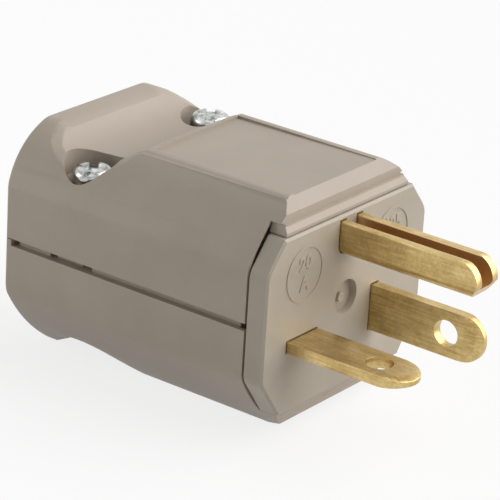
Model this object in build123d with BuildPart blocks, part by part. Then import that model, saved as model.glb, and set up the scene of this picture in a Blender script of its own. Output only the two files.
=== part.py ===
from build123d import *
import os

# Straight blade plug, 20 A 125 V pattern. The face lies in the plane y = 0, the blades point to -Y,
# the cord end points to +Y and the ground blade is up. The two shells meet in the plane z = 0.

# Blade pattern
blade_thick = 1.52
blade_width = 6.35
blade_reach = 17.5
blade_hole_dia = 3.6
blade_hole_reach = 11.89
line_offset = 6.35
neutral_offset = 9.13
blade_row_drop = 2.8
bevel_length = 1.4
bevel_depth = 0.42
bevel_shift = 1.5
ground_rise = 11.89
ground_reach = 20.7
ground_width = 4.7
ground_height = 4.6
ground_wall = 1.15
ground_bend = 1.3
ground_tip_cut = 1.1

# Blade shoulders and tails behind the face
shoulder_thick = 1.7
shoulder_step = 1.4
tail_width = 6.4
terminal_setback = 6.35
tail_past_screw = 4.5

# Clearances between pieces
fit_gap = 0.15
slot_gap = 0.12
seam_gap = 0.35
hood_gap = 0.1
plate_gap = 0.05
screw_gap = 0.25
thread_gap = 0.05
touch = 0.01

# Front insulator
face_rim = 0.66
face_edge = 0.3
mark_ring_radius = 3.8
mark_ring_width = 0.35
mark_ring_height = 0.2
mark_ring_offset = 9.4
mark_ring_rise = 6.4
gate_radius = 2.35
gate_depth = 1.0
gate_rise = 0.4
flange_thick = 2.8
flange_round = 2.5
upper_corner_inset = 3.35
upper_corner_drop = 4.05
lower_corner_inset = 4.0
lower_corner_drop = 5.55
rib_setback = 1.95
rib_thick = 2.0
rib_depth = 1.0
neck_tail = 2.1
carrier_edge = 0.97
retainer_thick = 1.9

# Housing walls and corners
wall = 2.2
upper_shoulder_inset = 7.35
upper_shoulder_drop = 7.8
upper_shoulder_bulge = 1.45
lower_shoulder_inset = 8.65
lower_shoulder_drop = 9.5
lower_shoulder_bulge = 0.75
upper_blend = 4.0
lower_blend = 3.0
rear_bevel = 0.5
front_lip = 0.7
front_lip_depth = 1.2

# Stepped hood over the top and bottom of the insulator
hood_front = 0.5
hood_lip = 0.4
hood_band_depth = 0.55
hood_band_rise = 0.65
hood_ledge_rise = 0.3
hood_ledge_depth = 0.45
hood_step_rise = 1.0
hood_slope_depth = 2.4
hood_slope_rise = 1.15
hood_end_inset = 4.05
hood_end_rise = 0.1

# Name panel on the crown
panel_rim = 0.95
panel_sink = 0.35
panel_land = 1.2

# Rear scoop and screw wells
scoop_half = 6.55
scoop_depth = 3.2
scoop_bevel = 1.0
scoop_setback = 0.5
rear_land = 3.4
well_forward = 0.6
well_depth = 2.6
well_web = 1.45
well_wall = 0.95
head_room = 1.3

# Reveal groove along the side joint
groove_height = 1.0
groove_depth = 0.9
groove_stop = 1.2
key_depth = 1.0
key_step = 0.4
front_key_setback = 2.9
front_key_length = 1.9
rear_key_setback = 2.8
rear_key_length = 0.9
stop_key_length = 0.7

# Inside of the shells
cavity_room = 4.0
cavity_ledge = 0.8
grip_radius = 5.0
grip_rib_reach = 1.6
grip_rib_thick = 1.4
grip_rib_pitch = 3.6
grip_roof = 2.6
entry_radius = 5.6
rear_wall = 3.5
tab_length = 8.0
tab_thick = 1.0
tab_rise = 1.5
tab_foot = 3.0
tab_root = 0.2

# Screws and nuts
screw_radius = 1.75
head_radius = 2.75
head_height = 2.4
head_bevel = 0.8
head_slot = 0.9
slot_turn = 35
right_screw_rise = 1.2
nut_setback = 3.6
nut_thick = 2.4
nut_corner_radius = 3.3
terminal_screw_radius = 1.5
terminal_screw_length = 5.0
terminal_head_radius = 2.7
terminal_head_height = 1.6
terminal_slot = 0.9
clamp_size = 6.6
clamp_thick = 1.2
clamp_bevel = 0.8

# Derived places along the plug, from the face to the cord end
seat_y = flange_thick + seam_gap
rib_front = seat_y + rib_setback
carrier_depth = rib_front + rib_thick + neck_tail
pocket_front = carrier_depth - shoulder_thick - fit_gap
retainer_front = carrier_depth + plate_gap
retainer_rear = retainer_front + retainer_thick
terminal_y = retainer_rear + terminal_setback
tail_end = terminal_y + tail_past_screw
cavity_end = tail_end + cavity_room
scoop_front = cavity_end + scoop_setback
panel_rear = scoop_front - panel_land
scoop_centre = scoop_front + scoop_half
well_y = scoop_centre - well_forward
body_length = scoop_centre + scoop_half + rear_land
grip_cavity_end = body_length - rear_wall

# Derived heights
blade_z = -blade_row_drop
ground_z = ground_rise - blade_row_drop
ground_base = ground_z - ground_height / 2
ground_top = ground_base + ground_height
web_z = ground_base + ground_wall / 2
face_height = 2 * (ground_top + face_rim)
hood_under = face_height / 2 + hood_gap
ledge_z = hood_under + hood_lip + hood_band_rise + hood_ledge_rise
hood_end_under = ledge_z + hood_end_rise
step_z = ledge_z + hood_step_rise
panel_z = step_z + hood_slope_rise
crown_z = panel_z + panel_sink
upper_side_z = crown_z - upper_shoulder_drop
lower_side_z = crown_z - lower_shoulder_drop
upper_corner_z = face_height / 2 - upper_corner_drop
lower_corner_z = face_height / 2 - lower_corner_drop
well_floor = crown_z - scoop_depth - well_depth
nut_base = nut_setback + nut_thick
grip_cavity_height = crown_z - scoop_depth - grip_roof

# Derived widths, with the housing as wide as the blade row or the screw wells ask for
shoulder_wide = blade_width + 2 * shoulder_step
well_radius = head_radius + head_room
grip_cavity_width = 2 * (grip_radius + grip_rib_reach)
well_offset = grip_cavity_width / 2 + well_web + well_radius
blade_side = neutral_offset + shoulder_wide / 2 + slot_gap + carrier_edge + fit_gap + wall
side_x = max(blade_side, well_offset + well_radius + well_wall)
upper_crown_x = side_x - upper_shoulder_inset
lower_crown_x = side_x - lower_shoulder_inset
upper_core_x = side_x - (crown_z - upper_corner_z) * upper_corner_inset / upper_corner_drop
lower_core_x = side_x - (crown_z - lower_corner_z) * lower_corner_inset / lower_corner_drop
hood_end_x = side_x - hood_end_inset
body_width = 2 * side_x
body_height = 2 * crown_z
panel_width = 2 * (upper_crown_x - panel_rim)
screw_length = well_floor + nut_base

# Derived tip shapes
tip_centre = blade_reach - blade_width / 2
bevel_centre = tip_centre - bevel_shift
bevel_inner = blade_width / 2 + bevel_shift - bevel_length
bevel_outer = bevel_inner + 2 * bevel_length
ground_tip_rise = 1.5 * ground_tip_cut
ground_tip_round = ground_height - ground_tip_rise - thread_gap

os.makedirs("parts", exist_ok=True)

# Outline of the closed housing: full round shoulders above, slimmer ones below
with BuildSketch() as housing_outline:
    with BuildLine():
        Line((0, crown_z), (upper_crown_x, crown_z))
        SagittaArc((upper_crown_x, crown_z), (side_x, upper_side_z), upper_shoulder_bulge)
        Line((side_x, upper_side_z), (side_x, -lower_side_z))
        SagittaArc((side_x, -lower_side_z), (lower_crown_x, -crown_z), lower_shoulder_bulge)
        Line((lower_crown_x, -crown_z), (0, -crown_z))
        mirror(about=Plane.YZ)
    make_face()
    fillet([v for v in housing_outline.vertices() if v.Y > 0], upper_blend)
    fillet([v for v in housing_outline.vertices() if abs(v.Y + lower_side_z) < touch], lower_blend)

# Straight cornered outline that the insulator and the inside of the shells follow
with BuildSketch() as core_outline:
    with BuildLine():
        Polyline(
            (0, crown_z),
            (upper_core_x, crown_z),
            (side_x, upper_corner_z),
            (side_x, -lower_corner_z),
            (lower_core_x, -crown_z),
            (0, -crown_z),
        )
        mirror(about=Plane.YZ)
    make_face()

with BuildSketch() as flange_outline:
    add(core_outline.sketch)
    Rectangle(body_width, face_height, mode=Mode.INTERSECT)
    fillet([v for v in flange_outline.vertices() if abs(abs(v.X) - side_x) < touch], flange_round)

# Inner outlines for the carrier neck and the shell opening around it
with BuildSketch() as neck_outline:
    add(core_outline.sketch)
    offset(amount=-(wall + fit_gap), kind=Kind.INTERSECTION, mode=Mode.REPLACE)
    Rectangle(body_width, face_height, mode=Mode.INTERSECT)

with BuildSketch() as opening_outline:
    add(core_outline.sketch)
    offset(amount=-wall, kind=Kind.INTERSECTION, mode=Mode.REPLACE)
    Rectangle(body_width, 2 * hood_under, mode=Mode.INTERSECT)

with BuildSketch() as rib_outline:
    add(core_outline.sketch)
    offset(amount=-(wall - rib_depth + fit_gap), kind=Kind.INTERSECTION, mode=Mode.REPLACE)
    Rectangle(body_width, face_height + 2 * rib_depth, mode=Mode.INTERSECT)

with BuildSketch() as rib_slot_outline:
    add(core_outline.sketch)
    offset(amount=-(wall - rib_depth), kind=Kind.INTERSECTION, mode=Mode.REPLACE)
    Rectangle(body_width, 2 * hood_under + 2 * rib_depth, mode=Mode.INTERSECT)

with BuildSketch() as lip_outline:
    add(housing_outline.sketch)
    offset(amount=-front_lip, kind=Kind.INTERSECTION, mode=Mode.REPLACE)
    Rectangle(body_width, 2 * hood_end_under, mode=Mode.INTERSECT)

with BuildSketch() as cavity_outline:
    add(core_outline.sketch)
    offset(amount=-(wall + cavity_ledge), kind=Kind.INTERSECTION, mode=Mode.REPLACE)

# Both housing halves, with all that they share
shell_halves = {}
for half_name, half_sign in (("upper", 1), ("lower", -1)):
    with BuildPart() as half_shell:
        with BuildSketch(Plane.XZ.offset(-hood_front)):
            add(housing_outline.sketch)
            with Locations((0, -half_sign * body_height)):
                Rectangle(2 * body_width, 2 * body_height, mode=Mode.SUBTRACT)
        extrude(amount=-(body_length - hood_front))
        rear_edges = half_shell.faces().sort_by(Axis.Y)[-1].edges()
        chamfer(rear_edges.filter_by(lambda e: abs(e.center().Z) > touch), rear_bevel)

        # Scoop across the crown with bevelled edges behind the panel
        scoop_radius = (scoop_half**2 + scoop_depth**2) / (2 * scoop_depth)
        with BuildSketch(Plane.YZ):
            with Locations((scoop_centre, half_sign * (crown_z - scoop_depth + scoop_radius))):
                Circle(scoop_radius)
        extrude(amount=body_width, both=True, mode=Mode.SUBTRACT)
        scoop_faces = half_shell.faces().filter_by(lambda f: f.is_circular_concave)
        scoop_edges = scoop_faces.sort_by(Axis.Z)[-1 if half_sign > 0 else 0].edges()
        chamfer(scoop_edges.filter_by(lambda e: e.center().Y > scoop_front + fit_gap), scoop_bevel)

        # Stepped front of the hood
        ledge_y = hood_front + hood_band_depth
        step_y = ledge_y + hood_ledge_depth
        with BuildSketch(Plane.YZ):
            with BuildLine():
                Polyline(
                    (0, half_sign * (hood_under + hood_lip)),
                    (hood_front, half_sign * (hood_under + hood_lip)),
                    (ledge_y, half_sign * (ledge_z - hood_ledge_rise)),
                    (ledge_y, half_sign * ledge_z),
                    (step_y, half_sign * ledge_z),
                    (step_y, half_sign * step_z),
                    (step_y + 2 * hood_slope_depth, half_sign * (step_z + 2 * hood_slope_rise)),
                    (0, half_sign * (step_z + 2 * hood_slope_rise)),
                    close=True,
                )
            make_face()
        extrude(amount=body_width, both=True, mode=Mode.SUBTRACT)

        # Room for the insulator flange under the hood, higher at its ends, with a thin lip behind
        with BuildSketch(Plane.XZ.offset(-hood_front)):
            Rectangle(2 * body_width, 2 * hood_under)
            with Locations((hood_end_x + side_x, 0), (-hood_end_x - side_x, 0)):
                Rectangle(body_width, 2 * hood_end_under)
        extrude(amount=-(seat_y - hood_front), mode=Mode.SUBTRACT)
        with BuildSketch(Plane.XZ.offset(-seat_y)):
            add(lip_outline.sketch)
        extrude(amount=-front_lip_depth, mode=Mode.SUBTRACT)

        # Opening, rib slot and cavity
        with BuildSketch(Plane.XZ.offset(-seat_y)):
            add(opening_outline.sketch)
        extrude(amount=-(retainer_rear + fit_gap - seat_y), mode=Mode.SUBTRACT)
        with BuildSketch(Plane.XZ.offset(-(rib_front - fit_gap))):
            add(rib_slot_outline.sketch)
        extrude(amount=-(rib_thick + 2 * fit_gap), mode=Mode.SUBTRACT)
        with BuildSketch(Plane.XZ.offset(-(retainer_rear + fit_gap))):
            add(cavity_outline.sketch)
        extrude(amount=-(cavity_end - retainer_rear - fit_gap), mode=Mode.SUBTRACT)

        # Cord grip: a pocket crossed by three ribs, then the round entry
        with BuildSketch(Plane.XZ.offset(-cavity_end)):
            Rectangle(grip_cavity_width, 2 * grip_cavity_height)
        extrude(amount=-(grip_cavity_end - cavity_end), mode=Mode.SUBTRACT)
        for rib_number in (-1, 0, 1):
            rib_y = scoop_centre + rib_number * grip_rib_pitch - grip_rib_thick / 2
            with BuildSketch(Plane.XZ.offset(-rib_y)):
                with Locations((0, half_sign * grip_cavity_height / 2)):
                    Rectangle(grip_cavity_width, grip_cavity_height)
                Circle(grip_radius, mode=Mode.SUBTRACT)
            extrude(amount=-grip_rib_thick)
        with BuildSketch(Plane.XZ.offset(-grip_cavity_end)):
            Circle(entry_radius)
        extrude(amount=-(body_length - grip_cavity_end), mode=Mode.SUBTRACT)
    shell_halves[half_name] = half_shell.part

# Upper shell
with BuildPart() as upper_shell:
    add(shell_halves["upper"])

    # Screw wells and screw holes
    with BuildSketch(Plane.XY.offset(well_floor)):
        with Locations((well_offset, well_y), (-well_offset, well_y)):
            Circle(well_radius)
    extrude(amount=crown_z, mode=Mode.SUBTRACT)
    with BuildSketch(Plane.XY):
        with Locations((well_offset, well_y), (-well_offset, well_y)):
            Circle(screw_radius + screw_gap)
    extrude(amount=crown_z, mode=Mode.SUBTRACT)

    # Sunken name panel, open to the hood
    with BuildSketch(Plane.XY.offset(panel_z)):
        with Locations((0, panel_rear / 2)):
            Rectangle(panel_width, panel_rear)
    extrude(amount=panel_sink, mode=Mode.SUBTRACT)

    # Reveal groove along both sides, with key pockets in its floor and a sunken step between two of them
    with BuildSketch(Plane.XY):
        with Locations((side_x, body_length / 2), (-side_x, body_length / 2)):
            Rectangle(2 * groove_depth, body_length)
        front_key_y = well_y - front_key_setback
        rear_key_y = well_y + rear_key_setback
        for key_y, key_length, key_sink in (
            (front_key_y, front_key_length, key_depth),
            (rear_key_y, rear_key_length, key_depth),
            (body_length - groove_stop - stop_key_length / 2, stop_key_length, key_depth),
            ((front_key_y + rear_key_y) / 2, rear_key_y - front_key_y, key_step),
        ):
            with Locations((side_x, key_y), (-side_x, key_y)):
                Rectangle(2 * (groove_depth + key_sink), key_length)
    extrude(amount=groove_height, mode=Mode.SUBTRACT)
upper_shell.part.label = "upper_shell"
export_step(upper_shell.part, "parts/upper_shell.step")

# Lower shell
with BuildPart() as lower_shell:
    add(shell_halves["lower"])

    # Stops that close the reveal groove at the cord end
    with BuildSketch(Plane.XY):
        stop_width = groove_depth - fit_gap
        stop_x = side_x - stop_width / 2
        stop_y = body_length - groove_stop / 2
        with Locations((stop_x, stop_y), (-stop_x, stop_y)):
            Rectangle(stop_width, groove_stop)
        with Locations((side_x, body_length), (-side_x, body_length)):
            Rectangle(2**0.5 * rear_bevel, 2**0.5 * rear_bevel, rotation=45, mode=Mode.SUBTRACT)
    extrude(amount=groove_height - fit_gap)

    # Locating tabs that stand up inside the upper shell
    tab_face = side_x - wall - cavity_ledge
    with BuildSketch(Plane.XZ.offset(-(terminal_y - tab_length / 2))):
        with BuildLine():
            Polyline(
                (tab_face - tab_thick, -tab_foot),
                (tab_face + tab_root, -tab_foot),
                (tab_face + tab_root, 0),
                (tab_face - fit_gap, 0),
                (tab_face - fit_gap, tab_rise),
                (tab_face - tab_thick, tab_rise),
                close=True,
            )
        make_face()
        mirror(about=Plane.YZ)
    extrude(amount=-tab_length)

    # Screw holes down to the six-sided pockets where the nuts are moulded in
    with BuildSketch(Plane.XY):
        with Locations((well_offset, well_y), (-well_offset, well_y)):
            Circle(screw_radius + screw_gap)
    extrude(amount=-nut_setback, mode=Mode.SUBTRACT)
    with BuildSketch(Plane.XY.offset(-(nut_setback - plate_gap))):
        with Locations((well_offset, well_y), (-well_offset, well_y)):
            RegularPolygon(nut_corner_radius + plate_gap, 6, rotation=30)
    extrude(amount=-(nut_thick + 2 * plate_gap), mode=Mode.SUBTRACT)
lower_shell.part.label = "lower_shell"
export_step(lower_shell.part, "parts/lower_shell.step")

# Front insulator that carries the blades
with BuildPart() as blade_carrier:
    with BuildSketch(Plane.XZ):
        add(flange_outline.sketch)
    extrude(amount=-flange_thick)
    chamfer(blade_carrier.faces().sort_by(Axis.Y)[0].edges(), face_edge)
    with BuildSketch(Plane.XZ.offset(-flange_thick)):
        add(neck_outline.sketch)
    extrude(amount=-(carrier_depth - flange_thick))
    with BuildSketch(Plane.XZ.offset(-rib_front)):
        add(rib_outline.sketch)
    extrude(amount=-rib_thick)

    # Blade slots
    with BuildSketch(Plane.XZ):
        with Locations((line_offset, blade_z)):
            Rectangle(blade_thick + 2 * slot_gap, blade_width + 2 * slot_gap)
        with Locations((-neutral_offset, blade_z)):
            Rectangle(blade_width + 2 * slot_gap, blade_thick + 2 * slot_gap)
    extrude(amount=-carrier_depth, mode=Mode.SUBTRACT)
    with BuildSketch(Plane.XZ) as ground_slot:
        with Locations((0, ground_z)):
            Rectangle(ground_width + 2 * slot_gap, ground_height + 2 * slot_gap)
        fillet(ground_slot.vertices().group_by(Axis.Y)[0], ground_bend + slot_gap)
        with Locations((0, ground_z + ground_wall / 2 + slot_gap)):
            core_height = ground_height - ground_wall
            Rectangle(ground_width - 2 * (ground_wall + slot_gap), core_height, mode=Mode.SUBTRACT)
    extrude(amount=-carrier_depth, mode=Mode.SUBTRACT)

    # Pockets for the blade shoulders
    with BuildSketch(Plane.XZ.offset(-pocket_front)):
        with Locations((line_offset, blade_z)):
            Rectangle(blade_thick + 2 * slot_gap, shoulder_wide + 2 * slot_gap)
        with Locations((-neutral_offset, blade_z)):
            Rectangle(shoulder_wide + 2 * slot_gap, blade_thick + 2 * slot_gap)
        with Locations((0, web_z)):
            Rectangle(shoulder_wide + 2 * slot_gap, ground_wall + 2 * slot_gap)
    extrude(amount=-(carrier_depth - pocket_front), mode=Mode.SUBTRACT)

    # Raised rating rings and the moulding gate recess
    with BuildSketch(Plane.XZ):
        with Locations((mark_ring_offset, mark_ring_rise), (-mark_ring_offset, mark_ring_rise)):
            Circle(mark_ring_radius)
            Circle(mark_ring_radius - mark_ring_width, mode=Mode.SUBTRACT)
    extrude(amount=mark_ring_height)
    with BuildSketch(Plane.XZ):
        with Locations((0, gate_rise)):
            Circle(gate_radius)
    extrude(amount=-gate_depth, mode=Mode.SUBTRACT)
blade_carrier.part.label = "blade_carrier"
export_step(blade_carrier.part, "parts/blade_carrier.step")

# Plate that traps the blade shoulders in the carrier
with BuildPart() as blade_retainer:
    with BuildSketch(Plane.XZ.offset(-retainer_front)):
        add(neck_outline.sketch)
        with Locations((line_offset, blade_z)):
            Rectangle(blade_thick + 2 * slot_gap, blade_width + 2 * slot_gap, mode=Mode.SUBTRACT)
        with Locations((-neutral_offset, blade_z)):
            Rectangle(blade_width + 2 * slot_gap, blade_thick + 2 * slot_gap, mode=Mode.SUBTRACT)
        with Locations((0, web_z)):
            Rectangle(tail_width + 2 * slot_gap, ground_wall + 2 * slot_gap, mode=Mode.SUBTRACT)
    extrude(amount=-retainer_thick)
blade_retainer.part.label = "blade_retainer"
export_step(blade_retainer.part, "parts/blade_retainer.step")

# Line blade, on edge, with a coined bevel around its round tip
with BuildPart() as line_blade:
    with BuildSketch(Plane.YZ.offset(line_offset - blade_thick / 2)):
        with Locations(((tail_end - tip_centre) / 2, blade_z)):
            Rectangle(tail_end + tip_centre, blade_width)
        with Locations((-tip_centre, blade_z)):
            Circle(blade_width / 2)
        with Locations((carrier_depth - shoulder_thick / 2, blade_z)):
            Rectangle(shoulder_thick, shoulder_wide)
        with Locations((-blade_hole_reach, blade_z)):
            Circle(blade_hole_dia / 2, mode=Mode.SUBTRACT)
        with Locations((terminal_y, blade_z)):
            Circle(terminal_screw_radius + thread_gap, mode=Mode.SUBTRACT)
    extrude(amount=blade_thick)
    for face_side in (1, -1):
        face_x = line_offset + face_side * blade_thick / 2
        with BuildSketch(Plane.XZ.offset(bevel_centre)):
            with BuildLine():
                Polyline(
                    (face_x, blade_z + bevel_inner),
                    (face_x + face_side, blade_z + bevel_inner),
                    (face_x + face_side, blade_z + bevel_outer),
                    (face_x - 2 * face_side * bevel_depth, blade_z + bevel_outer),
                    close=True,
                )
            make_face()
        revolve(
            axis=Axis((0, -bevel_centre, blade_z), (1, 0, 0)),
            revolution_arc=180,
            mode=Mode.SUBTRACT,
        )
line_blade.part.label = "line_blade"
export_step(line_blade.part, "parts/line_blade.step")

# Neutral blade, lying flat, with the same tip
with BuildPart() as neutral_blade:
    with BuildSketch(Plane.XY.offset(blade_z - blade_thick / 2)):
        with Locations((-neutral_offset, (tail_end - tip_centre) / 2)):
            Rectangle(blade_width, tail_end + tip_centre)
        with Locations((-neutral_offset, -tip_centre)):
            Circle(blade_width / 2)
        with Locations((-neutral_offset, carrier_depth - shoulder_thick / 2)):
            Rectangle(shoulder_wide, shoulder_thick)
        with Locations((-neutral_offset, -blade_hole_reach)):
            Circle(blade_hole_dia / 2, mode=Mode.SUBTRACT)
        with Locations((-neutral_offset, terminal_y)):
            Circle(terminal_screw_radius + thread_gap, mode=Mode.SUBTRACT)
    extrude(amount=blade_thick)
    for face_side in (1, -1):
        face_level = blade_z + face_side * blade_thick / 2
        with BuildSketch(Plane.XZ.offset(bevel_centre)):
            with BuildLine():
                Polyline(
                    (bevel_inner - neutral_offset, face_level),
                    (bevel_inner - neutral_offset, face_level + face_side),
                    (bevel_outer - neutral_offset, face_level + face_side),
                    (bevel_outer - neutral_offset, face_level - 2 * face_side * bevel_depth),
                    close=True,
                )
            make_face()
        revolve(
            axis=Axis((-neutral_offset, -bevel_centre, 0), (0, 0, -1)),
            revolution_arc=180,
            mode=Mode.SUBTRACT,
        )
neutral_blade.part.label = "neutral_blade"
export_step(neutral_blade.part, "parts/neutral_blade.step")

# Ground blade, strip folded to a U that is open upwards
with BuildPart() as ground_blade:
    with BuildSketch(Plane.XZ.offset(ground_reach)) as fold_section:
        with Locations((0, ground_z)):
            Rectangle(ground_width, ground_height)
        fillet(fold_section.vertices().group_by(Axis.Y)[0], ground_bend)
        with Locations((0, web_z + ground_wall / 2 + ground_height / 2)):
            Rectangle(ground_width - 2 * ground_wall, ground_height, mode=Mode.SUBTRACT)
        fillet(fold_section.vertices().group_by(Axis.Y)[-1], ground_wall / 4)
    extrude(amount=-(ground_reach + carrier_depth))
    with BuildSketch(Plane.YZ) as tip_outline:
        with BuildLine():
            Polyline(
                (-ground_reach, ground_top),
                (-ground_reach, ground_base + ground_tip_rise),
                (-ground_reach + ground_tip_cut, ground_base),
                (carrier_depth, ground_base),
                (carrier_depth, ground_top),
                close=True,
            )
        make_face()
        tip_corner = tip_outline.vertices().group_by(Axis.Y)[-1].sort_by(Axis.X)[0]
        fillet(tip_corner, ground_tip_round)
    extrude(amount=ground_width, both=True, mode=Mode.INTERSECT)
    with BuildSketch(Plane.XY.offset(ground_base)):
        with Locations((0, carrier_depth - shoulder_thick / 2)):
            Rectangle(shoulder_wide, shoulder_thick)
        with Locations((0, (carrier_depth + tail_end) / 2)):
            Rectangle(tail_width, tail_end - carrier_depth)
        with Locations((0, terminal_y)):
            Circle(terminal_screw_radius + thread_gap, mode=Mode.SUBTRACT)
    extrude(amount=ground_wall)
ground_blade.part.label = "ground_blade"
export_step(ground_blade.part, "parts/ground_blade.step")

# Binding screws and wire clamps inside, one set on each blade tail
for terminal_name, terminal_place, screw_axis in (
    ("line", (line_offset + blade_thick / 2, terminal_y, blade_z), (1, 0, 0)),
    ("neutral", (-neutral_offset, terminal_y, blade_z - blade_thick / 2), (0, 0, -1)),
    ("ground", (0, terminal_y, ground_base + ground_wall), (0, 0, 1)),
):
    terminal_plane = Plane(origin=terminal_place, x_dir=(0, 1, 0), z_dir=screw_axis)
    with BuildPart() as wire_clamp:
        with BuildSketch(terminal_plane):
            clamp_plate = Rectangle(clamp_size, clamp_size)
            chamfer(clamp_plate.vertices(), clamp_bevel)
            Circle(terminal_screw_radius + fit_gap, mode=Mode.SUBTRACT)
        extrude(amount=clamp_thick)
    wire_clamp.part.label = terminal_name + "_wire_clamp"
    export_step(wire_clamp.part, "parts/" + terminal_name + "_wire_clamp.step")

    with BuildPart() as terminal_screw:
        with BuildSketch(terminal_plane.offset(clamp_thick)):
            Circle(terminal_head_radius)
        extrude(amount=terminal_head_height)
        with BuildSketch(terminal_plane.offset(clamp_thick)):
            Circle(terminal_screw_radius)
        extrude(amount=-terminal_screw_length)
        with BuildSketch(terminal_plane.offset(clamp_thick + terminal_head_height)):
            Rectangle(3 * terminal_head_radius, terminal_slot)
        extrude(amount=-terminal_head_height / 2, mode=Mode.SUBTRACT)
    terminal_screw.part.label = terminal_name + "_terminal_screw"
    export_step(terminal_screw.part, "parts/" + terminal_name + "_terminal_screw.step")

# Shell screws from above and their nuts in the lower shell
for side_name, side_sign, screw_rise in (("left", -1, 0), ("right", 1, right_screw_rise)):
    screw_x = side_sign * well_offset
    head_seat = well_floor + screw_rise
    with BuildPart() as shell_screw:
        with BuildSketch(Plane.XY.offset(head_seat)):
            with Locations((screw_x, well_y)):
                Circle(head_radius)
        extrude(amount=head_height)
        chamfer(shell_screw.edges().group_by(Axis.Z)[-1], head_bevel)
        with BuildSketch(Plane.XY.offset(head_seat)):
            with Locations((screw_x, well_y)):
                Circle(screw_radius)
        extrude(amount=-screw_length)
        with BuildSketch(Plane.XY.offset(head_seat + head_height)):
            with Locations(Location((screw_x, well_y), slot_turn)):
                Rectangle(3 * head_radius, head_slot)
                Rectangle(head_slot, 1.2 * head_radius)
        extrude(amount=-head_height / 2, mode=Mode.SUBTRACT)
    shell_screw.part.label = "shell_screw_" + side_name
    export_step(shell_screw.part, "parts/shell_screw_" + side_name + ".step")

    with BuildPart() as shell_nut:
        with BuildSketch(Plane.XY.offset(-nut_setback)):
            with Locations((screw_x, well_y)):
                RegularPolygon(nut_corner_radius, 6, rotation=30)
                Circle(screw_radius + thread_gap, mode=Mode.SUBTRACT)
        extrude(amount=-nut_thick)
    shell_nut.part.label = "shell_nut_" + side_name
    export_step(shell_nut.part, "parts/shell_nut_" + side_name + ".step")
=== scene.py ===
import bpy
from math import copysign, radians
from mathutils import Euler, Matrix, Vector


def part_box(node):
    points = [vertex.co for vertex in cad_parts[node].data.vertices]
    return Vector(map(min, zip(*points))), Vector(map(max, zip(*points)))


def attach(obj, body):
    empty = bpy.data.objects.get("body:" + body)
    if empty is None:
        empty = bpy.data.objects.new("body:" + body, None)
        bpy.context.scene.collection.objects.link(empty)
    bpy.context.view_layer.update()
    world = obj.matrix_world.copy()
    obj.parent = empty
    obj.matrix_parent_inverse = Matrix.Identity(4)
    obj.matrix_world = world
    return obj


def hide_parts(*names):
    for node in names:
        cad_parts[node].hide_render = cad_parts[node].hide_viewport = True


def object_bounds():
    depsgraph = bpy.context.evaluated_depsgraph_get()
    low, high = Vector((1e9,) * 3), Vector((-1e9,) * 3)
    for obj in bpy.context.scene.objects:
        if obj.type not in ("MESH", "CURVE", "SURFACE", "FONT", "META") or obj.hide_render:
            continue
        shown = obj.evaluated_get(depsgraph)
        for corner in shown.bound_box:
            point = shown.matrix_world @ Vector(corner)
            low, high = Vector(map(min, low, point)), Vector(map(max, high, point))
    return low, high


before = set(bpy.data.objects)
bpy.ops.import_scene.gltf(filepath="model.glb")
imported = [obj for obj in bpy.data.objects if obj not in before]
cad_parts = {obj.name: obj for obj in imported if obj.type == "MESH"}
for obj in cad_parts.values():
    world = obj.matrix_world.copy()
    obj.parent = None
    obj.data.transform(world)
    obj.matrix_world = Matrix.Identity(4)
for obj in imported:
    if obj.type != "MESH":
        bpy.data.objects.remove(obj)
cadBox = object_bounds()
print("frame loaded:", len(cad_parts), "nodes")

mm = 0.001
mergeReach = 0.002 * mm  # corners closer than this are one
edgeAngle = 30  # degrees, sharper bends stay edges
scene = bpy.context.scene
scene.view_settings.view_transform = "Standard"


def deselectAll():
    if bpy.context.object and bpy.context.object.mode != "OBJECT":
        bpy.ops.object.mode_set(mode="OBJECT")
    bpy.ops.object.select_all(action="DESELECT")


def makeActive(piece):
    deselectAll()
    piece.select_set(True)
    bpy.context.view_layer.objects.active = piece


# pick the faces that a test likes, then open edit mode on them
def editFaces(piece, likes):
    makeActive(piece)
    bpy.ops.object.mode_set(mode="EDIT")
    bpy.ops.mesh.select_mode(type="FACE")
    bpy.ops.mesh.select_all(action="DESELECT")
    bpy.ops.object.mode_set(mode="OBJECT")
    for face in piece.data.polygons:
        face.select = likes(face)
    bpy.ops.object.mode_set(mode="EDIT")


def looksUp(face):
    return face.normal.z > 0.9


def looksDown(face):
    return face.normal.z < -0.9


def looksForward(face):
    return face.normal.y < -0.9


def liesLevel(face):
    return face.normal.z > 0.999


def applyModifier(piece, kind, **settings):
    makeActive(piece)
    modifier = piece.modifiers.new(kind.lower(), kind)
    for name, value in settings.items():
        setattr(modifier, name, value)
    bpy.ops.object.modifier_apply(modifier=modifier.name)


# place, finish and body of a piece whose shape is done
def finishPiece(piece, name, finish, smoothAngle=edgeAngle):
    makeActive(piece)
    bpy.ops.object.transform_apply(location=True, rotation=True, scale=True)
    bpy.ops.object.shade_smooth_by_angle(angle=radians(smoothAngle))
    piece.name = name
    piece.data.materials.clear()
    piece.data.materials.append(finish)
    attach(piece, "root")


# a fresh material, its node tree and its main shader
def newFinish(name):
    finish = bpy.data.materials.new(name)
    finish.use_nodes = True
    tree = finish.node_tree
    shader = tree.nodes["Principled BSDF"]
    return finish, tree, shader


def objectCoords(tree, scale=(1, 1, 1)):
    coords = tree.nodes.new("ShaderNodeTexCoord")
    mapping = tree.nodes.new("ShaderNodeMapping")
    mapping.inputs["Scale"].default_value = scale
    tree.links.new(coords.outputs["Object"], mapping.inputs["Vector"])
    return mapping.outputs["Vector"]


def noise(tree, vector, scale, detail, roughness=0.55):
    node = tree.nodes.new("ShaderNodeTexNoise")
    node.inputs["Scale"].default_value = scale
    node.inputs["Detail"].default_value = detail
    node.inputs["Roughness"].default_value = roughness
    tree.links.new(vector, node.inputs["Vector"])
    return node.outputs["Fac"]


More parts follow.
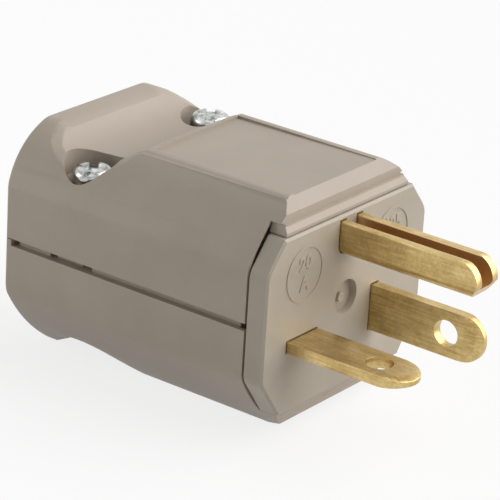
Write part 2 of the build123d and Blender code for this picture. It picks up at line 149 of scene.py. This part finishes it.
def ramp(tree, value, stops):
    node = tree.nodes.new("ShaderNodeValToRGB")
    while len(node.color_ramp.elements) < len(stops):
        node.color_ramp.elements.new(0.5)
    for element, (place, colour) in zip(node.color_ramp.elements, stops):
        element.position = place
        element.color = (*colour, 1.0)
    tree.links.new(value, node.inputs["Fac"])
    return node.outputs["Color"]


# from the dark colour of a look over its body to the light one
def toneColour(tree, tone, look):
    colours = (look["dark"], look["body"], look["light"])
    return ramp(tree, tone, list(zip(look["stops"], colours)))


def remap(tree, value, low, high):
    node = tree.nodes.new("ShaderNodeMapRange")
    node.inputs["To Min"].default_value = low
    node.inputs["To Max"].default_value = high
    tree.links.new(value, node.inputs["Value"])
    return node.outputs["Result"]


# first plus share times second
def blendValues(tree, first, second, share):
    node = tree.nodes.new("ShaderNodeMath")
    node.operation = "MULTIPLY_ADD"
    node.inputs[1].default_value = share
    tree.links.new(second, node.inputs[0])
    tree.links.new(first, node.inputs[2])
    return node.outputs["Value"]


def bump(tree, shader, height, strength, distance):
    node = tree.nodes.new("ShaderNodeBump")
    node.inputs["Strength"].default_value = strength
    node.inputs["Distance"].default_value = distance
    tree.links.new(height, node.inputs["Height"])
    tree.links.new(node.outputs["Normal"], shader.inputs["Normal"])


# moulded nylon: faint cloudy colour, fine pits from the mould
shellNylonLook = {
    "dark": (0.396, 0.336, 0.272),
    "body": (0.419, 0.357, 0.291),
    "light": (0.441, 0.379, 0.311),
    "stops": (0.32, 0.5, 0.7),
    "cloudScale": 110.0,
    "cloudDetail": 4.0,
    "cloudShare": 0.8,
    "grainScale": 6500.0,
    "grainDetail": 2.0,
    "grainShare": 0.2,
    "grainBump": 0.3,
    "grainDepth": 0.012 * mm,
    "roughLow": 0.42,
    "roughHigh": 0.52,
    "gloss": 0.4,
}
faceNylonLook = dict(
    shellNylonLook,
    dark=(0.40, 0.348, 0.278),
    body=(0.425, 0.372, 0.30),
    light=(0.45, 0.395, 0.322),
    roughLow=0.36,
    roughHigh=0.46,
)


def makeNylon(name, look):
    finish, tree, shader = newFinish(name)
    place = objectCoords(tree)
    cloud = noise(tree, place, look["cloudScale"], look["cloudDetail"])
    grain = noise(tree, place, look["grainScale"], look["grainDetail"])
    patches = remap(tree, cloud, 0.0, look["cloudShare"])
    tone = blendValues(tree, patches, grain, look["grainShare"])
    tree.links.new(toneColour(tree, tone, look), shader.inputs["Base Color"])
    rough = remap(tree, cloud, look["roughLow"], look["roughHigh"])
    tree.links.new(rough, shader.inputs["Roughness"])
    shader.inputs["Specular IOR Level"].default_value = look["gloss"]
    bump(tree, shader, grain, look["grainBump"], look["grainDepth"])
    return finish


# rolled brass strip: streaks along the blade, tarnish in clouds
brassLook = {
    "dark": (0.42, 0.285, 0.11),
    "body": (0.60, 0.44, 0.185),
    "light": (0.80, 0.63, 0.33),
    "stops": (0.36, 0.5, 0.66),
    "streakScale": (4200.0, 240.0, 4200.0),
    "streakDetail": 4.0,
    "streakShare": 0.38,
    "grainScale": 2600.0,
    "grainDetail": 3.0,
    "grainShare": 0.2,
    "stainScale": 300.0,
    "stainDetail": 5.0,
    "stainRoughness": 0.6,
    "stainShare": 0.42,
    "markBump": 0.3,
    "markDepth": 0.03 * mm,
    "roughLow": 0.24,
    "roughHigh": 0.44,
}
# inside its channel the folded blade gets a lighter brown: a painted reflection of its brass legs
# lighting each other in the channel's shade
foldedLook = dict(brassLook, insideHalf=1.3 * mm, inside=(0.68, 0.49, 0.27))


# painted reflection: another colour where the surface is within a half width of the middle plane
def paintReflectionInside(tree, place, colour, look):
    axes = tree.nodes.new("ShaderNodeSeparateXYZ")
    tree.links.new(place, axes.inputs["Vector"])
    away = tree.nodes.new("ShaderNodeMath")
    away.operation = "ABSOLUTE"
    tree.links.new(axes.outputs["X"], away.inputs[0])
    within = tree.nodes.new("ShaderNodeMath")
    within.operation = "LESS_THAN"
    within.inputs[1].default_value = look["insideHalf"]
    tree.links.new(away.outputs["Value"], within.inputs[0])
    tint = tree.nodes.new("ShaderNodeMix")
    tint.data_type = "RGBA"
    tint.inputs["B"].default_value = (*look["inside"], 1.0)
    tree.links.new(within.outputs["Value"], tint.inputs["Factor"])
    tree.links.new(colour, tint.inputs["A"])
    return tint.outputs["Result"]


def makeBrass(name, look):
    finish, tree, shader = newFinish(name)
    place = objectCoords(tree)
    along = objectCoords(tree, look["streakScale"])
    streaks = noise(tree, along, 1.0, look["streakDetail"])
    grain = noise(tree, place, look["grainScale"], look["grainDetail"])
    stains = noise(tree, place, look["stainScale"], look["stainDetail"], look["stainRoughness"])
    rolled = remap(tree, streaks, 0.0, look["streakShare"])
    marks = blendValues(tree, rolled, grain, look["grainShare"])
    tone = blendValues(tree, marks, stains, look["stainShare"])
    colour = toneColour(tree, tone, look)
    # painted reflection inside the channel of the folded blade
    if "inside" in look:
        colour = paintReflectionInside(tree, place, colour, look)
    tree.links.new(colour, shader.inputs["Base Color"])
    rough = remap(tree, tone, look["roughHigh"], look["roughLow"])
    tree.links.new(rough, shader.inputs["Roughness"])
    shader.inputs["Metallic"].default_value = 1.0
    bump(tree, shader, marks, look["markBump"], look["markDepth"])
    return finish


# plated steel: bright, with cloudy patches in the plating
zincLook = {
    "dark": (0.16, 0.16, 0.155),
    "body": (0.46, 0.47, 0.455),
    "light": (0.82, 0.83, 0.81),
    "stops": (0.32, 0.5, 0.7),
    "cloudScale": 850.0,
    "cloudDetail": 4.0,
    "cloudBump": 0.15,
    "cloudDepth": 0.04 * mm,
    "roughLow": 0.12,
    "roughHigh": 0.26,
}
nickelLook = dict(
    zincLook,
    dark=(0.50, 0.47, 0.42),
    body=(0.66, 0.63, 0.57),
    light=(0.80, 0.77, 0.71),
)
greenLook = dict(
    zincLook,
    dark=(0.03, 0.16, 0.06),
    body=(0.05, 0.26, 0.10),
    light=(0.10, 0.38, 0.17),
)
clampLook = dict(zincLook, cloudScale=420.0, roughLow=0.28, roughHigh=0.48)


def makePlating(name, look):
    finish, tree, shader = newFinish(name)
    cloud = noise(tree, objectCoords(tree), look["cloudScale"], look["cloudDetail"])
    tree.links.new(toneColour(tree, cloud, look), shader.inputs["Base Color"])
    rough = remap(tree, cloud, look["roughLow"], look["roughHigh"])
    tree.links.new(rough, shader.inputs["Roughness"])
    shader.inputs["Metallic"].default_value = 1.0
    bump(tree, shader, cloud, look["cloudBump"], look["cloudDepth"])
    return finish


shellNylon = makeNylon("shellNylon", shellNylonLook)
faceNylon = makeNylon("faceNylon", faceNylonLook)
bladeBrass = makeBrass("bladeBrass", brassLook)
foldedBrass = makeBrass("foldedBrass", foldedLook)
plainZinc = makePlating("plainZinc", zincLook)
nickelPlate = makePlating("nickelPlate", nickelLook)
greenPlate = makePlating("greenPlate", greenLook)
clampSteel = makePlating("clampSteel", clampLook)
print("finishes made")

# the upper shoulders are flatter as far as the screw wells and full behind them
shoulders = {
    "inset": 7.35 * mm,
    "drop": 7.8 * mm,
    "share": 0.52,
    "flatUntil": 30 * mm,
    "fullFrom": 38 * mm,
}


def flattenShoulders(piece, look):
    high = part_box("upper_shell")[1]  # the far corner
    sideZ = high.z - look["drop"]
    for corner in piece.data.vertices:
        place = piece.matrix_world @ corner.co
        chordX = high.x - look["inset"] * (place.z - sideZ) / look["drop"]
        bulge = abs(place.x) - chordX
        if place.z < sideZ or bulge <= 0:
            continue
        fullness = (place.y - look["flatUntil"]) / (look["fullFrom"] - look["flatUntil"])
        share = look["share"] + (1 - look["share"]) * min(max(fullness, 0), 1)
        place.x = copysign(chordX + share * bulge, place.x)
        corner.co = piece.matrix_world.inverted() @ place


# the slope in front of the name panel is short and steep, and the panel rises a little to meet it
hoodSlope = {
    "setBack": 1.0 * mm,
    "rise": 1.5 * mm,
    "depth": 3.13 * mm,
    "share": 0.48,
    "panelDrop": 0.35 * mm,
    "panelLift": 0.24 * mm,
    "reach": 0.05 * mm,
}


def steepenSlope(piece, look):
    low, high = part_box("upper_shell")
    footY = low.y + look["setBack"]
    footZ = high.z - look["rise"]
    for corner in piece.data.vertices:
        place = piece.matrix_world @ corner.co
        slopeY = footY + look["depth"] * (place.z - footZ) / look["rise"]
        if place.z <= footZ or abs(place.y - slopeY) > look["reach"]:
            continue
        if abs(high.z - look["panelDrop"] - place.z) < look["reach"]:
            place.z += look["panelLift"]
        place.y = footY + look["share"] * look["depth"] * (place.z - footZ) / look["rise"]
        corner.co = piece.matrix_world.inverted() @ place


# the rings on the face stand low and soft
ringTops = {"share": 0.55, "above": 0.05 * mm}


def lowerRings(piece, look):
    for corner in piece.data.vertices:
        place = piece.matrix_world @ corner.co
        if place.y < -look["above"]:
            place.y *= look["share"]
            corner.co = piece.matrix_world.inverted() @ place


# moulded and stamped CAD nodes get a merged copy with softened edges
softEdges = {
    "upper_shell": {"width": 0.2 * mm, "finish": shellNylon, "slot": "shell", "angle": 40},
    "lower_shell": {"width": 0.2 * mm, "finish": shellNylon, "slot": "shell", "angle": 40},
    "blade_carrier": {"width": 0.14 * mm, "finish": faceNylon, "slot": "insulator"},
    "blade_retainer": {"width": 0.12 * mm, "finish": faceNylon, "slot": "insulator"},
    "line_blade": {"width": 0.09 * mm, "finish": bladeBrass, "slot": "blade_brass"},
    "neutral_blade": {"width": 0.09 * mm, "finish": bladeBrass, "slot": "blade_brass"},
    "ground_blade": {"width": 0.09 * mm, "finish": foldedBrass, "slot": "blade_brass"},
    "line_wire_clamp": {"width": 0.12 * mm, "finish": clampSteel, "slot": "clamp_plate"},
    "neutral_wire_clamp": {"width": 0.12 * mm, "finish": clampSteel, "slot": "clamp_plate"},
    "ground_wire_clamp": {"width": 0.12 * mm, "finish": clampSteel, "slot": "clamp_plate"},
    "line_terminal_screw": {"width": 0.12 * mm, "finish": bladeBrass, "slot": "line_screw"},
    "neutral_terminal_screw": {"width": 0.12 * mm, "finish": nickelPlate, "slot": "neutral_screw"},
    "ground_terminal_screw": {"width": 0.12 * mm, "finish": greenPlate, "slot": "ground_screw"},
    "shell_nut_left": {"width": 0.15 * mm, "finish": plainZinc, "slot": "plated_steel"},
    "shell_nut_right": {"width": 0.15 * mm, "finish": plainZinc, "slot": "plated_steel"},
}
flatAngle = 0.6  # degrees, faces that bend less are one


def softCopy(nodeName, look):
    makeActive(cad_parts[nodeName])
    bpy.ops.object.duplicate()
    piece = bpy.context.active_object
    # the copy starts without the properties of the node
    for key in list(piece.keys()):
        del piece[key]
    bpy.ops.object.mode_set(mode="EDIT")
    bpy.ops.mesh.select_all(action="SELECT")
    bpy.ops.mesh.remove_doubles(threshold=mergeReach)
    bpy.ops.mesh.dissolve_limited(angle_limit=radians(flatAngle))
    bpy.ops.object.mode_set(mode="OBJECT")
    if nodeName == "upper_shell":
        flattenShoulders(piece, shoulders)
        steepenSlope(piece, hoodSlope)
    if nodeName == "blade_carrier":
        lowerRings(piece, ringTops)
    angle = look.get("angle", edgeAngle)
    applyModifier(piece, "BEVEL", limit_method="ANGLE", angle_limit=radians(angle),
                  width=look["width"], segments=2, use_clamp_overlap=True)
    finishPiece(piece, nodeName + "_soft", look["finish"], angle)
    applyModifier(piece, "WEIGHTED_NORMAL", keep_sharp=True)
    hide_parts(nodeName)


for nodeName, look in softEdges.items():
    softCopy(nodeName, look)
print("soft copies made:", len(softEdges))

# pan head screw with a slot and cross recess and a cut thread
shellScrew = {
    "headHeight": 2.4 * mm,
    "headSides": 64,
    "headRound": 1.1 * mm,
    "crownInset": 1.1 * mm,
    "crownRise": 0.14 * mm,
    "slotWidth": 1.2 * mm,
    "slotDepth": 0.9 * mm,
    "crossReach": 3.6 * mm,
    "crossWidth": 1.1 * mm,
    "crossDepth": 1.3 * mm,
    "crossTaper": 0.35,
    "slotTurn": 35,
    "edge": 0.07 * mm,
    "edgeAngle": 35,
    "smoothAngle": 32,
    "shankRadius": 1.75 * mm,
    "shankSides": 40,
    "leadShare": 0.4,
    "pitch": 0.8 * mm,
    "threadDepth": 0.3 * mm,
    "crestShare": 0.2,
    "footShare": 0.9,
    "turnSteps": 36,
}


# block that cuts downwards from the top of a head, its foot drawn in by the taper
def addCutter(length, width, depth, taper, top, turn):
    deselectAll()
    bpy.ops.mesh.primitive_cube_add(size=1, location=(0, 0, top - depth / 2),
                                    scale=(length, width, depth))
    cutter = bpy.context.active_object
    bpy.ops.object.transform_apply(location=True, rotation=True, scale=True)
    editFaces(cutter, looksDown)
    bpy.ops.transform.resize(value=(taper, taper, 1), center_override=(0, 0, top - depth))
    editFaces(cutter, looksUp)
    bpy.ops.mesh.extrude_region_move(TRANSFORM_OT_translate={"value": (0, 0, depth)})
    bpy.ops.object.mode_set(mode="OBJECT")
    cutter.rotation_euler.z = radians(turn)
    bpy.ops.object.transform_apply(location=True, rotation=True, scale=True)
    return cutter


def makeHead(look, radius, height):
    deselectAll()
    bpy.ops.mesh.primitive_cylinder_add(vertices=look["headSides"], radius=radius, depth=height,
                                        location=(0, 0, height / 2))
    head = bpy.context.active_object
    bpy.ops.object.transform_apply(location=True, rotation=True, scale=True)
    # round the rim, then crown the top
    editFaces(head, looksUp)
    bpy.ops.mesh.region_to_loop()
    bpy.ops.mesh.bevel(offset=look["headRound"], segments=7, affect="EDGES")
    editFaces(head, liesLevel)
    bpy.ops.mesh.inset(thickness=look["crownInset"])
    bpy.ops.transform.translate(value=(0, 0, look["crownRise"]))
    bpy.ops.object.mode_set(mode="OBJECT")
    top = height + look["crownRise"]
    slotLength = 4 * radius  # well past the rim
    slotCut = (slotLength, look["slotWidth"], look["slotDepth"], 1.0)
    crossCut = (look["crossReach"], look["crossWidth"], look["crossDepth"], look["crossTaper"])
    for cut, turn in ((slotCut, 0), (crossCut, 0), (crossCut, 90)):
        cutter = addCutter(*cut, top, look["slotTurn"] + turn)
        applyModifier(head, "BOOLEAN", operation="DIFFERENCE", object=cutter, solver="EXACT")
        bpy.data.objects.remove(cutter)
    applyModifier(head, "BEVEL", limit_method="ANGLE", angle_limit=radians(look["edgeAngle"]),
                  width=look["edge"], segments=2, use_clamp_overlap=True)
    return head


# core of the shank with a pointed lead
def makeCore(look, radius, length):
    deselectAll()
    bpy.ops.mesh.primitive_cylinder_add(vertices=look["shankSides"], radius=radius, depth=length,
                                        location=(0, 0, -length / 2))
    core = bpy.context.active_object
    bpy.ops.object.transform_apply(location=True, rotation=True, scale=True)
    editFaces(core, looksDown)
    bpy.ops.mesh.region_to_loop()
    bpy.ops.mesh.bevel(offset=look["leadShare"] * radius, segments=2, affect="EDGES")
    bpy.ops.object.mode_set(mode="OBJECT")
    return core


# one ridge, wound up the shank from its tip, its foot sunk in the core
def makeRidge(look, coreRadius, length):
    pitch = look["pitch"]
    deselectAll()
    bpy.ops.mesh.primitive_plane_add(size=pitch, location=(0, 0, -length),
                                     rotation=(radians(90), 0, 0))
    ridge = bpy.context.active_object
    bpy.ops.object.transform_apply(location=True, rotation=True, scale=True)
    bpy.ops.object.mode_set(mode="EDIT")
    bpy.ops.mesh.select_all(action="SELECT")
    bpy.ops.mesh.delete(type="ONLY_FACE")
    bpy.ops.object.mode_set(mode="OBJECT")
    half = pitch / 2
    for corner in ridge.data.vertices:
        outside = corner.co.x > 0
        upward = 1 if corner.co.z > -length else -1
        share = look["crestShare"] if outside else look["footShare"]
        corner.co.x = look["shankRadius"] if outside else coreRadius - look["threadDepth"]
        corner.co.z = -length + half + upward * half * share
    applyModifier(ridge, "SCREW", axis="Z", angle=radians(360), screw_offset=pitch,
                  iterations=int((length - pitch) / pitch), steps=look["turnSteps"],
                  render_steps=look["turnSteps"], use_merge_vertices=True,
                  merge_threshold=mergeReach)
    # close the two ends of the ridge
    bpy.ops.object.mode_set(mode="EDIT")
    bpy.ops.mesh.select_mode(type="EDGE")
    bpy.ops.mesh.select_all(action="DESELECT")
    bpy.ops.mesh.select_non_manifold()
    bpy.ops.mesh.edge_face_add()
    bpy.ops.mesh.select_all(action="SELECT")
    bpy.ops.mesh.normals_make_consistent(inside=False)
    bpy.ops.object.mode_set(mode="OBJECT")
    return ridge


def makeScrew(look, headRadius, headHeight, shankLength):
    coreRadius = look["shankRadius"] - look["threadDepth"]
    head = makeHead(look, headRadius, headHeight)
    core = makeCore(look, coreRadius, shankLength)
    ridge = makeRidge(look, coreRadius, shankLength)
    deselectAll()
    for piece in (core, ridge, head):
        piece.select_set(True)
    bpy.context.view_layer.objects.active = head
    bpy.ops.object.join()
    return head


screwLow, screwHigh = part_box("shell_screw_left")
headRadius = (screwHigh.x - screwLow.x) / 2
headHeight = shellScrew["headHeight"] - shellScrew["crownRise"]
screwLength = screwHigh.z - screwLow.z - headHeight - shellScrew["crownRise"]
screwMaster = makeScrew(shellScrew, headRadius, headHeight, screwLength)
for sideName in ("left", "right"):
    nodeName = "shell_screw_" + sideName
    low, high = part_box(nodeName)
    makeActive(screwMaster)
    bpy.ops.object.duplicate()
    screw = bpy.context.active_object
    screw.location = ((low.x + high.x) / 2, (low.y + high.y) / 2, low.z + screwLength)
    finishPiece(screw, nodeName + "_cut", plainZinc, shellScrew["smoothAngle"])
    applyModifier(screw, "WEIGHTED_NORMAL", keep_sharp=True)
    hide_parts(nodeName)
bpy.data.objects.remove(screwMaster)
print("shell screws made: 2")

# raised rating marks inside the two rings of the face
ratingMarks = {
    "size": 2.6 * mm,
    "lineGap": 1.05,
    "stroke": 0.13 * mm,
    "rise": 0.02 * mm,
    "edge": 0.09 * mm,
    "edgeSteps": 2,
    "height": 6.4 * mm,
    "rings": {"ratingLeft": (-9.4 * mm, "20\nA"), "ratingRight": (9.4 * mm, "125\nV")},
}
for markName, (ringX, words) in ratingMarks["rings"].items():
    deselectAll()
    bpy.ops.object.text_add(location=(ringX, 0, ratingMarks["height"]),
                            rotation=(radians(90), 0, 0))
    mark = bpy.context.active_object
    mark.data.body = words
    mark.data.size = ratingMarks["size"]
    mark.data.space_line = ratingMarks["lineGap"]
    mark.data.align_x = "CENTER"
    mark.data.align_y = "CENTER"
    mark.data.extrude = ratingMarks["rise"]
    mark.data.bevel_depth = ratingMarks["edge"]
    mark.data.bevel_resolution = ratingMarks["edgeSteps"]
    mark.data.offset = ratingMarks["stroke"] - ratingMarks["edge"]
    bpy.ops.object.convert(target="MESH")
    mark = bpy.context.active_object
    finishPiece(mark, markName, faceNylon)
print("rating marks made:", len(ratingMarks["rings"]))

# stub left by the moulding gate in its round recess, with a small dimple where it broke off
gateStub = {
    "place": (-0.45 * mm, 0.72 * mm, 0.25 * mm),
    "radius": 0.62 * mm,
    "length": 0.66 * mm,
    "sides": 28,
    "dimpleInset": 0.4 * mm,
    "dimpleDepth": 0.12 * mm,
    "edge": 0.2 * mm,
}
deselectAll()
bpy.ops.mesh.primitive_cylinder_add(vertices=gateStub["sides"], radius=gateStub["radius"],
                                    depth=gateStub["length"], location=gateStub["place"],
                                    rotation=(radians(90), 0, 0))
stub = bpy.context.active_object
bpy.ops.object.transform_apply(location=True, rotation=True, scale=True)
editFaces(stub, looksForward)
bpy.ops.mesh.inset(thickness=gateStub["dimpleInset"])
bpy.ops.transform.translate(value=(0, gateStub["dimpleDepth"], 0))
bpy.ops.object.mode_set(mode="OBJECT")
applyModifier(stub, "BEVEL", limit_method="ANGLE", angle_limit=radians(edgeAngle),
              width=gateStub["edge"], segments=3)
finishPiece(stub, "gateStub", faceNylon)
print("gate stub made")

# long lens in front of the face, to the left and a little above
cameraView = {
    "place": (-277.25 * mm, -187.36 * mm, 143.86 * mm),
    "turn": -53.80,
    "tilt": 22.41,
    "roll": 3.56,
    "lens": 205.56,
    "sensor": 36.0,
    "clipStart": 10 * mm,
}
cameraData = bpy.data.cameras.new("photoCamera")
cameraData.sensor_width = cameraView["sensor"]
cameraData.lens = cameraView["lens"]
cameraData.clip_start = cameraView["clipStart"]
camera = bpy.data.objects.new("photoCamera", cameraData)
scene.collection.objects.link(camera)
aim = Euler((radians(90 - cameraView["tilt"]), 0, radians(cameraView["turn"]))).to_matrix()
aim = aim @ Matrix.Rotation(radians(cameraView["roll"]), 3, "Z")
camera.matrix_world = Matrix.Translation(cameraView["place"]) @ aim.to_4x4()
scene.camera = camera
print("camera at", cameraView["place"])


# 1 where the camera, a mirror or glass looks, 0 for the light on the object
def seenDirectly(tree):
    path = tree.nodes.new("ShaderNodeLightPath")
    seen = path.outputs["Is Camera Ray"]
    for ray in ("Is Glossy Ray", "Is Transmission Ray"):
        either = tree.nodes.new("ShaderNodeMath")
        either.operation = "MAXIMUM"
        tree.links.new(seen, either.inputs[0])
        tree.links.new(path.outputs[ray], either.inputs[1])
        seen = either.outputs["Value"]
    return seen


# white paper sweep that keeps a soft shadow
floorPaper = {
    "size": 6.0,
    "lit": (0.72, 0.72, 0.72),
    "seen": (0.97, 0.97, 0.97),
    "glow": 0.8,
    "rough": 0.95,
    "gloss": 0.0,
}
deselectAll()
bpy.ops.mesh.primitive_plane_add(size=floorPaper["size"], location=(0, 0, cadBox[0][2]))
floor = bpy.context.active_object
floor.name = "floor"
floorFinish, floorTree, floorShader = newFinish("floorPaper")
seen = seenDirectly(floorTree)
floorColour = ramp(floorTree, seen, [(0.0, floorPaper["lit"]), (1.0, floorPaper["seen"])])
floorTree.links.new(floorColour, floorShader.inputs["Base Color"])
floorShader.inputs["Roughness"].default_value = floorPaper["rough"]
floorShader.inputs["Specular IOR Level"].default_value = floorPaper["gloss"]
paperGlow = floorTree.nodes.new("ShaderNodeEmission")
paperMix = floorTree.nodes.new("ShaderNodeMixShader")
floorTree.links.new(remap(floorTree, seen, 0.0, floorPaper["glow"]), paperMix.inputs["Fac"])
floorTree.links.new(floorShader.outputs["BSDF"], paperMix.inputs[1])
floorTree.links.new(paperGlow.outputs["Emission"], paperMix.inputs[2])
paperSurface = floorTree.nodes["Material Output"].inputs["Surface"]
floorTree.links.new(paperMix.outputs["Shader"], paperSurface)
floor.data.materials.append(floorFinish)

studio = {"sky": 0.28, "seen": 1.0}
world = bpy.data.worlds.new("studio")
scene.world = world
world.use_nodes = True
sky = world.node_tree.nodes["Background"]
sky.inputs["Color"].default_value = (1, 1, 1, 1)
skyLevel = remap(world.node_tree, seenDirectly(world.node_tree), studio["sky"], studio["seen"])
world.node_tree.links.new(skyLevel, sky.inputs["Strength"])
print("floor and sky made")

lampTarget = Vector((0, 15 * mm, 0))


def aimLamp(name, lampData, place):
    lamp = bpy.data.objects.new(name, lampData)
    scene.collection.objects.link(lamp)
    lamp.location = place
    toward = lampTarget - Vector(place)
    lamp.rotation_euler = toward.to_track_quat("-Z", "Y").to_euler()


keyLight = {"place": (0.60, -0.61, 0.60), "strength": 3.1, "spread": 76}
keyData = bpy.data.lights.new("keyLight", "SUN")
keyData.energy = keyLight["strength"]
keyData.angle = radians(keyLight["spread"])
aimLamp("keyLight", keyData, keyLight["place"])

rearPanel = {"place": (-0.12, 0.16, 0.05), "size": 0.10, "power": 0.07}
rearData = bpy.data.lights.new("rearPanel", "AREA")
rearData.size = rearPanel["size"]
rearData.energy = rearPanel["power"]
aimLamp("rearPanel", rearData, rearPanel["place"])
print("lamps set: 2")
